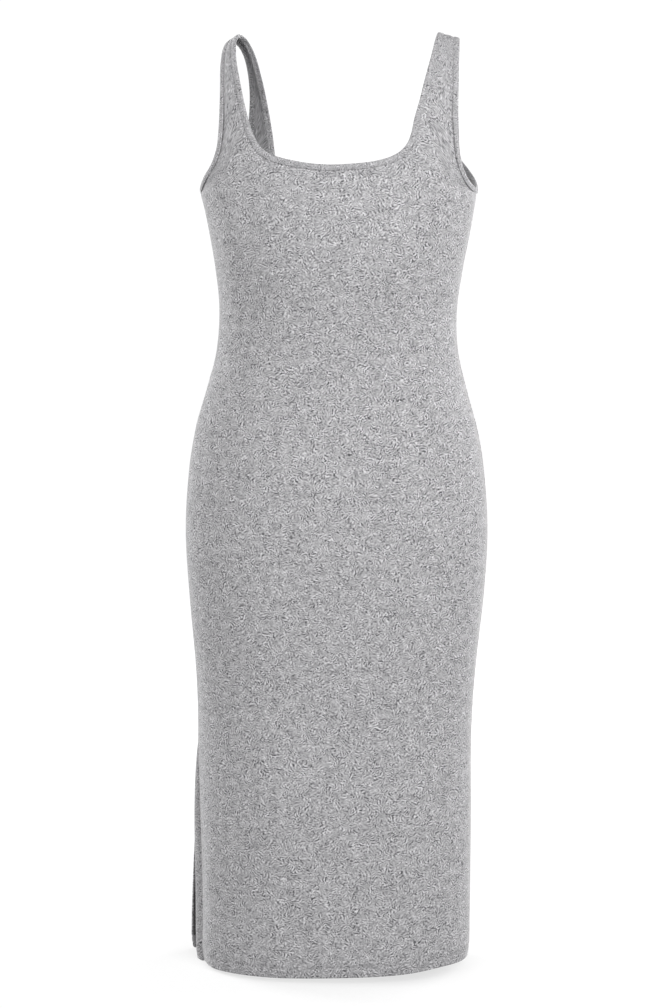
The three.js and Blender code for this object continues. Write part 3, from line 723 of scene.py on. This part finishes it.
def finish_cloth(mesh, name, wall, knit):
    """Joins the grids of a piece, measures its flat cut without keeping the result, and gives it its
    thickness.
    """
    bmesh.ops.remove_doubles(mesh, verts=mesh.verts, dist=0.00001)
    mesh.normal_update()
    layer, shade_paint = mesh.loops.layers.uv["UVMap"], mesh.verts.layers.float["painted_shade"]
    corners = [[loop[layer].uv for loop in face.loops] for face in mesh.faces]
    us, vs = ([uv[axis] for uvs in corners for uv in uvs] for axis in (0, 1))
    area = sum(
        abs(sum(a.x * b.y - b.x * a.y for a, b in zip(uvs, uvs[1:] + uvs[:1]))) / 2 for uvs in corners
    )
    max(us) - min(us)
    max(vs) - min(vs)
    made = bmesh.ops.solidify(mesh, geom=mesh.faces[:], thickness=wall * MM)["geom"]
    # The new inner faces get full painted shade: their colour is darkened to stand in for the shade inside
    # the dress.
    for vert in made:
        if isinstance(vert, bmesh.types.BMVert):
            vert[shade_paint] = 1
    for edge in mesh.edges:
        edge.smooth = edge.calc_face_angle(0) < math.radians(50)
    piece = place_piece(mesh, name, knit)
    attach(piece, "root")
    return piece


def panel(side, name, flat_start):
    """A whole panel with its turned hem, its turned slit edge and its halves of the two straps."""
    points, spots, heights = panel_rows(side)
    normals = [[dress_normal(side, turn, z) for turn, z in row] for row in spots]
    walked = [lengths_along(row) for row in points]
    for r, row in enumerate(points):
        above_hem = heights[r] - HEM_Z if r < len(heights) else math.inf
        for c, (turn, z) in enumerate(spots[r]):
            to_right, to_left = walked[r][c], walked[r][-1] - walked[r][c]
            lift = cloth_lift(side, turn, z, to_right, to_left, above_hem, lip_distance(row[c]))
            shift = slit_shift(z, to_left) if side == FRONT else 0
            drop = hem_drop(side, to_right, to_left) * (1 - smooth_step(above_hem / DROP_REACH))
            row[c] = row[c] + normals[r][c] * lift + Vector((shift, 0, -drop))
    centre = len(STATIONS) // 2
    lengths_up = zip(*[lengths_along(column) for column in zip(*points)])
    cloth = [
        [(at - far[centre] + flat_start, up) for at, up in zip(far, ups)]
        for far, ups in zip(walked, lengths_up)
    ]
    # Painted shade: the slit's margin is darkened to stand in for the shade where it turns away.
    shade_paint = [
        [painted_margin_shade(z, far[-1] - at) if side == FRONT else 0 for (turn, z), at in zip(row, far)]
        for row, far in zip(spots, walked)
    ]
    mesh = bmesh.new()
    rows, flat = turned_hem(points, normals, walked, cloth)
    lay_grid(mesh, rows + points, flat + cloth, side == FRONT, [shade_paint[0]] * len(rows) + shade_paint)
    rows, flat = turned_slit(points, normals, walked, cloth, heights)
    lay_grid(mesh, rows, flat, side == FRONT, [[painted_shade[-1]] * len(rows[0]) for painted_shade, _ in zip(shade_paint, rows)])
    for hand, zone in ROOTS:
        shares = [station_share(hand, station) for station in STATIONS[zone]]
        rows, flat = half_strap(side, hand, points[-1][zone], cloth[-1][zone], shares)
        lay_grid(mesh, rows, flat, side == FRONT)
    return finish_cloth(mesh, name, KNIT_WALL, marled_knit), points, normals, walked


def set_inputs(tree, node, **inputs):
    """Sets a node's inputs by name, or by number as in _0; an input given as a socket is linked."""
    for key, value in inputs.items():
        socket = node.inputs[int(key[1:])] if key[1:].isdigit() else node.inputs[key.replace("_", " ")]
        if isinstance(value, bpy.types.NodeSocket):
            tree.links.new(value, socket)
        else:
            socket.default_value = value


def new_node(tree, kind, settings=(), **inputs):
    node = tree.nodes.new("ShaderNode" + kind)
    for key, value in dict(settings).items():
        setattr(node, key, value)
    set_inputs(tree, node, **inputs)
    return node


def new_material(name):
    """A material with its node tree and its Principled shader."""
    material = bpy.data.materials.new(name)
    material.use_nodes = True
    return material, material.node_tree, material.node_tree.nodes["Principled BSDF"]


# How strongly each part of the knit's marl shows.
THREAD_SHARE = 2.5
YARN_SHARE = 1.4
FLOCK_SHARE = 0.85
HEATHER_SHARE = 0.15


def marled_knit_group():
    """The marled knit: strands lighter and darker than the ground that curl, cross and break."""
    group = bpy.data.node_groups.new("marled knit", "ShaderNodeTree")
    for way, name, kind in (
        ("INPUT", "Cloth", "Vector"),
        ("INPUT", "Dark Strand", "Color"),
        ("INPUT", "Light Strand", "Color"),
        ("INPUT", "Strands per Metre", "Float"),
        ("INPUT", "Marl", "Float"),
        ("OUTPUT", "Color", "Color"),
        ("OUTPUT", "Height", "Float"),
    ):
        group.interface.new_socket(name=name, in_out=way, socket_type="NodeSocket" + kind)
    given = group.nodes.new("NodeGroupInput").outputs

    def add(kind, settings=(), **inputs):
        return new_node(group, kind, settings, **inputs).outputs

    def sum_up(value, share, onto):
        return add("Math", {"operation": "MULTIPLY_ADD"}, _0=value, _1=share, _2=onto)[0]

    def noise(at, scale, detail, **more):
        flat = {"noise_dimensions": "2D"}
        return add("TexNoise", flat, Vector=at, Scale=scale, Detail=detail, **more)

    per_metre = given["Strands per Metre"]
    strands = add("VectorMath", {"operation": "SCALE"}, Vector=given["Cloth"], Scale=per_metre)[0]
    place = add("VectorMath", {"operation": "MULTIPLY"}, _0=strands, _1=(0.84, 1, 1))[0]

    # Threads and thicker yarns that curl and turn as the brushing left them.
    wander = noise(place, 0.16, 1)["Color"]
    curled = add("VectorMath", {"operation": "MULTIPLY_ADD"}, _0=wander, _1=(2.4, 2.4, 0), _2=place)[0]
    lie = noise(place, 0.2, 1)[0]
    turned = add("MapRange", Value=lie, _1=0.3, _2=0.7, _3=-1.9, _4=1.9)[0]
    thread = add("TexGabor", Vector=curled, Scale=0.56, Frequency=1.8, Anisotropy=0.4, Orientation=turned)[0]
    apart = add("VectorMath", {"operation": "ADD"}, _0=curled, _1=(37.3, 11.9, 0))[0]
    yarn = add("TexGabor", Vector=apart, Scale=0.36, Frequency=1.8, Anisotropy=0.2, Orientation=turned)[0]

    # The threads come and go, with flock lying over them and a faint heather in the ground.
    broken = noise(apart, 0.3, 2)[0]
    strength = add("MapRange", Value=broken, _1=0.3, _2=0.7, _3=0.45, _4=1.55)[0]
    thread_share = add("Math", {"operation": "MULTIPLY"}, _0=strength, _1=THREAD_SHARE)[0]
    start = sum_up(thread_share, -0.5, 0.5)
    raised = sum_up(thread, thread_share, start)
    raised = sum_up(yarn, YARN_SHARE, raised)
    flock = noise(place, 0.32, 2, Roughness=0.6)[0]
    raised = sum_up(flock, FLOCK_SHARE, raised)
    heather = noise(place, 0.07, 2)[0]
    raised = sum_up(heather, HEATHER_SHARE, raised)
    middle = 0.5 * (YARN_SHARE + FLOCK_SHARE + HEATHER_SHARE) + 0.5
    level = add("Math", {"operation": "SUBTRACT"}, _0=raised, _1=middle)[0]
    held = {"operation": "MULTIPLY_ADD", "use_clamp": True}
    spread = add("Math", held, _0=level, _1=given["Marl"], _2=0.5)[0]
    shades = {"_6": given["Dark Strand"], "_7": given["Light Strand"]}
    colour = add("Mix", {"data_type": "RGBA"}, _0=spread, **shades)[2]
    out = group.nodes.new("NodeGroupOutput").inputs
    group.links.new(colour, out["Color"])
    group.links.new(spread, out["Height"])
    return group


knit_group = marled_knit_group()


DARK_STRAND = (0.1, 0.099, 0.105, 1)
LIGHT_STRAND = (0.76, 0.752, 0.77, 1)
# The knit's colour where its painted shade is full: darkened to this share to stand in for shade.
PAINTED_SHADE_LEVEL = 0.62


def knit_material(name, strands, marl):
    """Brushed knit of a dark and a light grey strand, with the nap's soft sheen."""
    material, tree, shader = new_material(name)
    flat = new_node(tree, "UVMap", {"uv_map": "UVMap"})
    knit = new_node(tree, "Group", {"node_tree": knit_group}, Cloth=flat.outputs[0], Marl=marl,
                    Dark_Strand=DARK_STRAND, Light_Strand=LIGHT_STRAND, Strands_per_Metre=strands)
    bump = new_node(tree, "Bump", Strength=0.4, Distance=0.0004, Height=knit.outputs["Height"])
    # Painted shade: this attribute darkens the knit's colour on inner faces, the slit's margin and the
    # bindings' inner halves.
    inside = new_node(tree, "Attribute", {"attribute_name": "painted_shade"})
    painted_darkening = new_node(tree, "MapRange", Value=inside.outputs["Fac"], _3=1.0, _4=PAINTED_SHADE_LEVEL)
    shaded = new_node(tree, "VectorMath", {"operation": "SCALE"}, Vector=knit.outputs["Color"],
                      Scale=painted_darkening.outputs[0])
    set_inputs(tree, shader, Base_Color=shaded.outputs[0], Normal=bump.outputs[0], Roughness=0.95,
               Specular_IOR_Level=0.1, Sheen_Weight=1.0, Sheen_Roughness=0.3)
    return material


marled_knit = knit_material("marled_knit", 330, 0.6)
front_panel, *front_lines = panel(FRONT, "front_panel_knit", 0)
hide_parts("front_panel")

# Front stitches: two rows of soft grey thread round the hem, and one down the slit's turned margin.
# Each stitch lies half sunk in the knit, in the small trough that it pulls.
STITCH_LENGTH = 2.4
STITCH_PITCH = 3.0
THREAD = 0.46
DARK_PLY = (0.25, 0.25, 0.255, 1)
LIGHT_PLY = (0.5, 0.5, 0.51, 1)


def thread_material():
    """Soft grey sewing thread of a darker and a lighter ply."""
    material, tree, shader = new_material("sewing_thread")
    spot = new_node(tree, "TexCoord").outputs["Object"]
    ply = new_node(tree, "TexNoise", Vector=spot, Scale=1400, Detail=2)
    shade = new_node(tree, "Mix", {"data_type": "RGBA"}, _0=ply.outputs[0], _6=DARK_PLY, _7=LIGHT_PLY)
    bump = new_node(tree, "Bump", Strength=0.3, Distance=0.0001, Height=ply.outputs[0])
    set_inputs(tree, shader, Base_Color=shade.outputs[2], Normal=bump.outputs[0], Roughness=0.7,
               Specular_IOR_Level=0.2)
    return material


sewing_thread = thread_material()


def stitch(mesh, place, along, out, length=STITCH_LENGTH):
    """One stitch: a short plump length of thread lying on the cloth."""
    across = out.cross(along).normalized()
    along = along.normalized()
    lie = Matrix((along * length / 2, across * THREAD / 2, along.cross(across) * THREAD / 2))
    turn = Matrix.Translation(place * MM) @ lie.transposed().to_4x4()
    bmesh.ops.create_icosphere(mesh, subdivisions=1, radius=MM, matrix=turn)


def sew(mesh, line, outs):
    """A row of even stitches along a line of points, with the way out of the cloth at each."""
    walked = lengths_along(line)
    count = round(walked[-1] / STITCH_PITCH)
    for step in range(count):
        before, t = place_along(walked, walked[-1] * (step + 0.5) / count)
        start, end = line[before], line[before + 1]
        stitch(mesh, start.lerp(end, t), end - start, outs[before].lerp(outs[before + 1], t))


def slit_line(points, normals, walked, inset):
    """The line down a slit edge at an inset from it, with the way out of the cloth along it."""
    line, outs = [], []
    for row, ways, far in zip(points, normals, walked):
        if row[-1].z > SLIT_TOP_Z:
            break
        c, t = place_along(far, far[-1] - inset)
        line.append(row[c].lerp(row[c + 1], t))
        outs.append(ways[c].lerp(ways[c + 1], t))
    return line, outs


def finish_stitches(mesh, name):
    piece = place_piece(mesh, name, sewing_thread)
    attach(piece, "root")
    return piece


def panel_stitches(points, normals, walked, name):
    mesh = bmesh.new()
    for up in HEM_STITCHES:
        r = HEM_ROWS.index(up)
        sew(mesh, points[r][:-2], normals[r][:-2])
    sew(mesh, *slit_line(points, normals, walked, SLIT_STITCH))
    return finish_stitches(mesh, name)


front_stitches = panel_stitches(*front_lines, "front_hem_stitches")

# Back panel: cut like the front with a deeper neckline, and joined to it at the side seams and the
# shoulder seams. Below the slit its free edge is turned in and stands a little open.
back_panel, *back_lines = panel(BACK, "back_panel_knit", 1500)
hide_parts("back_panel")
back_stitches = panel_stitches(*back_lines, "back_hem_stitches")

# Side seams: the two panels sewn together from the underarms down, their raw edges overlocked inside
# and pressed to the back. The viewer's left one stops at the slit under a close bar of stitches.
SEAM_PROFILE = (
    (-3.4, 1.2), (-2.2, 1.9), (-0.8, 2.9), (0.6, 3.6), (2.6, 3.8), (5, 3.65), (6.6, 3.2), (7.3, 2.3),
    (7.5, 1.2),
)
SEAM_STEP = 8
SEAM_TOP_Z = UNDERARM_Z - 9
SEAM_WALL = 0.8
OVERLOCK_PITCH = 2.2
OVERLOCK_LENGTH = 4.2
BAR_STITCHES = 11
BAR_PITCH = 0.75
BAR_LENGTH = 5


def seam_edges(mesh, threads, rows, ins, flat_start):
    """A seam's turned edges through rows across it, and the overlocking thread over their raw end."""
    along = lengths_along([row[4] for row in rows])
    across = lengths_along(rows[0])
    flipped = (rows[0][5] - rows[0][3]).cross(rows[1][4] - rows[0][4]).dot(ins[0]) < 0
    # The turned edges carry full painted shade, darkened as the inner faces are.
    lay_grid(mesh, rows, [[(flat_start + u, v) for u in across] for v in along], flipped,
             [[1] * len(across)] * len(along))
    count = round(along[-1] / OVERLOCK_PITCH)
    for step in range(count):
        climbed = (step + 0.5) / count * (len(rows) - 1)
        r = int(climbed)
        inner, outer = (rows[r][k].lerp(rows[r + 1][k], climbed - r) for k in (4, 6))
        up = (rows[r + 1][4] - rows[r][4]).normalized()
        place = inner.lerp(outer, 0.6) + ins[r] * 0.3
        stitch(threads, place, outer - inner + up * 1.1, ins[r], OVERLOCK_LENGTH)


def side_seam(mesh, threads, turn, low, high, flat_start):
    rows, ins = [], []
    count = round((high - low) / SEAM_STEP)
    for step in range(count + 1):
        z = mix(low, high, step / count)
        at, out = dress_point(FRONT, turn, z), dress_normal(FRONT, turn, z)
        back = (Vector((0, 1, 0)) - out * out.y).normalized()
        rows.append([at + back * across - out * deep for across, deep in SEAM_PROFILE])
        ins.append(-out)
    seam_edges(mesh, threads, rows, ins, flat_start)


edges_mesh, threads_mesh = bmesh.new(), bmesh.new()
side_seam(edges_mesh, threads_mesh, 0, HEM_Z + HEM_DEPTH + 2, SEAM_TOP_Z, 5000)
side_seam(edges_mesh, threads_mesh, math.pi, SLIT_TOP_Z + 2, SEAM_TOP_Z, 5200)
for step in range(BAR_STITCHES):
    z = SLIT_TOP_Z + 1 + BAR_PITCH * step
    out = dress_normal(FRONT, math.pi, z)
    stitch(threads_mesh, dress_point(FRONT, math.pi, z) - out * 0.1, Vector((0, 1, 0)), out, BAR_LENGTH)

# Shoulder seams: the front and back straps sewn together on top of each shoulder, their raw edges
# overlocked underneath and pressed to the back before the bindings close over the ends.
SHOULDER_STEPS = 10
for hand, flat_start in ((RIGHT, 5400), (LEFT, 5600)):
    rows, ins = [], []
    for step in range(SHOULDER_STEPS + 1):
        share = mix(0.1, 0.9, step / SHOULDER_STEPS)
        rows.append([
            strap_row(hand, CREST + across / knot_span(hand), (share,), deep)[0]
            for across, deep in SEAM_PROFILE
        ])
        ins.append(arm_edges[hand](CREST, 5, 0) - arm_edges[hand](CREST, 5, 1))
    seam_edges(edges_mesh, threads_mesh, rows, ins, flat_start)
inner_edges = finish_cloth(edges_mesh, "seam_inner_edges", SEAM_WALL, marled_knit)
seam_threads = finish_stitches(threads_mesh, "seam_threads")

# Neck binding: one strip of the same knit folded over the raw edge of the neckline and the straps,
# its lips turned under and stitched through. Its face runs from the outer lip over the edge to the
# inner lip, as insets from the edge and rises off the cloth.
BINDING_FACE = (
    (7.6, -0.1), (7.5, 0.5), (7.1, 0.92), (6.4, 1.02), (5.9, 0.9), (5.4, 1.05), (4.4, 1.25),
    (3, 1.25), (1.6, 0.95), (0.6, 0.3), (0.05, -0.75), (0.6, -1.75), (1.6, -2.35), (3, -2.6),
    (4.4, -2.6), (5.4, -2.45), (5.9, -2.3), (6.4, -2.4), (7.1, -2.3), (7.5, -1.9), (7.6, -1.4),
)
BINDING_WALL = 0.85
LIP_STITCH, LIP_RISE, LIP_SINK = 5.9, 0.98, -2.38
NECK_BINDING_ROWS = 380
BINDING_FLAT_START = 3000
INNER_FROM, INNER_EASE = -0.5, 1.4
binding_knit = knit_material("binding_knit", 360, 0.45)


def binding(edge, knots, name, inner_shade):
    """A strip folded round a closed edge, with a row of stitches through its lips on both faces."""
    rows = [[edge(knot, inset, rise) for inset, rise in BINDING_FACE] for knot in knots]
    rows.append([point.copy() for point in rows[0]])
    across = lengths_along(rows[0])
    along = lengths_along([row[0] for row in rows])
    out = edge(knots[0], 4.4, 2) - edge(knots[0], 4.4, 1)
    flipped = (rows[0][7] - rows[0][5]).cross(rows[1][6] - rows[0][6]).dot(out) < 0
    mesh = bmesh.new()
    # Painted shade on the binding's inner half, from the lip round to the inside: a darkened colour that
    # stands in for shade.
    painted_shade = [inner_shade * smooth_step((INNER_FROM - rise) / INNER_EASE) for inset, rise in BINDING_FACE]
    flat = [[(BINDING_FLAT_START + u, v) for u in across] for v in along]
    lay_grid(mesh, rows, flat, flipped, [painted_shade] * len(rows))
    piece = finish_cloth(mesh, name, BINDING_WALL, binding_knit)
    threads = bmesh.new()
    ring = (*knots, knots[0])
    for rise, way in ((LIP_RISE, 1), (LIP_SINK, -1)):
        line, off = ([edge(knot, LIP_STITCH, at) for knot in ring] for at in (rise, rise + way))
        sew(threads, line, [above - point for above, point in zip(off, line)])
    stitches = finish_stitches(threads, name.replace("strip", "stitches"))
    return piece


neck_knots = spaced_knots(neck_edge, 0, NECK_KNOTS, NECK_BINDING_ROWS)[:-1]
neck_binding = binding(neck_edge, neck_knots, "neck_binding_strip", 0.2)
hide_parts("neck_binding")

# Armhole bindings: two strips like the neck's, each folded over the edge of one armhole and closed
# under the arm. Their inner faces carry full painted shade, darker than the neck binding's.
ARMHOLE_BINDING_ROWS = 190
for hand, word in ((RIGHT, "right"), (LEFT, "left")):
    knots = spaced_knots(arm_edges[hand], 0, ARMHOLE_KNOTS, ARMHOLE_BINDING_ROWS)[:-1]
    strip = binding(arm_edges[hand], knots, f"armhole_binding_{word}_strip", 1)
    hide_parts(f"armhole_binding_{word}")

# Floor: a plain pale studio floor just under the hem, matt, and lit up towards the far wall so that
# the two meet without an edge.
FLOOR_Z = -1171.7
FLOOR_REACH = 40
floor_paint, paint, floor_shader = new_material("pale floor")
seen = new_node(paint, "LightPath").outputs["Is Camera Ray"]
spot = new_node(paint, "TexCoord").outputs["Object"]
away = new_node(paint, "VectorMath", {"operation": "LENGTH"}, Vector=spot).outputs["Value"]
glow = new_node(paint, "MapRange", Value=away, _1=1.17, _2=2.2, _3=0.71, _4=0.91).outputs[0]
glow = new_node(paint, "Math", {"operation": "MULTIPLY"}, _0=seen, _1=glow).outputs[0]
shades = {"_6": (0.4, 0.4, 0.4, 1), "_7": (0.3, 0.3, 0.3, 1)}
pale = new_node(paint, "Mix", {"data_type": "RGBA"}, _0=seen, **shades)
set_inputs(paint, floor_shader, Base_Color=pale.outputs[2], Roughness=0.95, Specular_IOR_Level=0,
           Emission_Color=(1, 1, 1, 1), Emission_Strength=glow)
floor_mesh = bmesh.new()
bmesh.ops.create_grid(floor_mesh, x_segments=8, y_segments=8, size=FLOOR_REACH)
bmesh.ops.translate(floor_mesh, verts=floor_mesh.verts, vec=(0, 0, FLOOR_Z * MM))
floor = place_piece(floor_mesh, "floor", floor_paint)

# Light: a pale room that is dimmer overhead, a broad soft lamp on the viewer's right and a weaker one
# on the left, and lamps at the sides and behind that lift the nap along the edges.
world = bpy.data.worlds.new("studio")
bpy.context.scene.world = world
world.use_nodes = True
sky = world.node_tree
sky.nodes.clear()
way = new_node(sky, "TexCoord").outputs["Generated"]
climb = new_node(sky, "SeparateXYZ", Vector=way).outputs["Z"]
level = new_node(sky, "MapRange", Value=climb, _3=0.62, _4=0.3).outputs[0]
room = new_node(sky, "Background", Color=(1, 1, 1, 1), Strength=level)
white = new_node(sky, "Background", Color=(1, 1, 1, 1), Strength=1.05)
seen = new_node(sky, "LightPath").outputs["Is Camera Ray"]
either = new_node(sky, "MixShader", _0=seen, _1=room.outputs[0], _2=white.outputs[0])
new_node(sky, "OutputWorld", _0=either.outputs[0])


def place_aimed(name, data, spot, aim):
    """Places a lamp or the camera at a spot, and turns it to what it's aimed at."""
    holder = bpy.data.objects.new(name, data)
    holder.location = spot
    holder.rotation_mode = "QUATERNION"
    holder.rotation_quaternion = (Vector(aim) - Vector(spot)).to_track_quat("-Z", "Y")
    bpy.context.scene.collection.objects.link(holder)
    return holder


for name, spot, aim, size, power in (
    ("key lamp", (1.25, -2.0, 0.62), (0, 0, -0.4), 1.3, 35),
    ("fill lamp", (-0.9, -2.6, 0.5), (0, 0, -0.4), 1.6, 19),
    ("right edge lamp", (2.4, 0.9, 0.1), (0, 0, -0.5), 1.0, 17),
    ("right rim lamp", (1.9, 1.9, -0.1), (0, 0, -0.5), 1.2, 36),
    ("left edge lamp", (-2.3, 1.3, -0.2), (0, 0, -0.75), 1.0, 53),
):
    lamp = bpy.data.lights.new(name, "AREA")
    lamp.size = size
    lamp.energy = power
    place_aimed(name, lamp, spot, aim).visible_camera = False
bpy.context.scene.view_settings.view_transform = "Standard"

# Camera: a short telephoto lens level with the chest, a little to the viewer's right of the front,
# looking down to the middle of the dress.
CAMERA_SPOT = (0.36256, -2.95283, -0.280)
CAMERA_AIM = (0, 0, -0.5835)
camera_data = bpy.data.cameras.new("camera")
camera_data.lens = 85
camera_data.sensor_width = 36
bpy.context.scene.camera = place_aimed("camera", camera_data, CAMERA_SPOT, CAMERA_AIM)
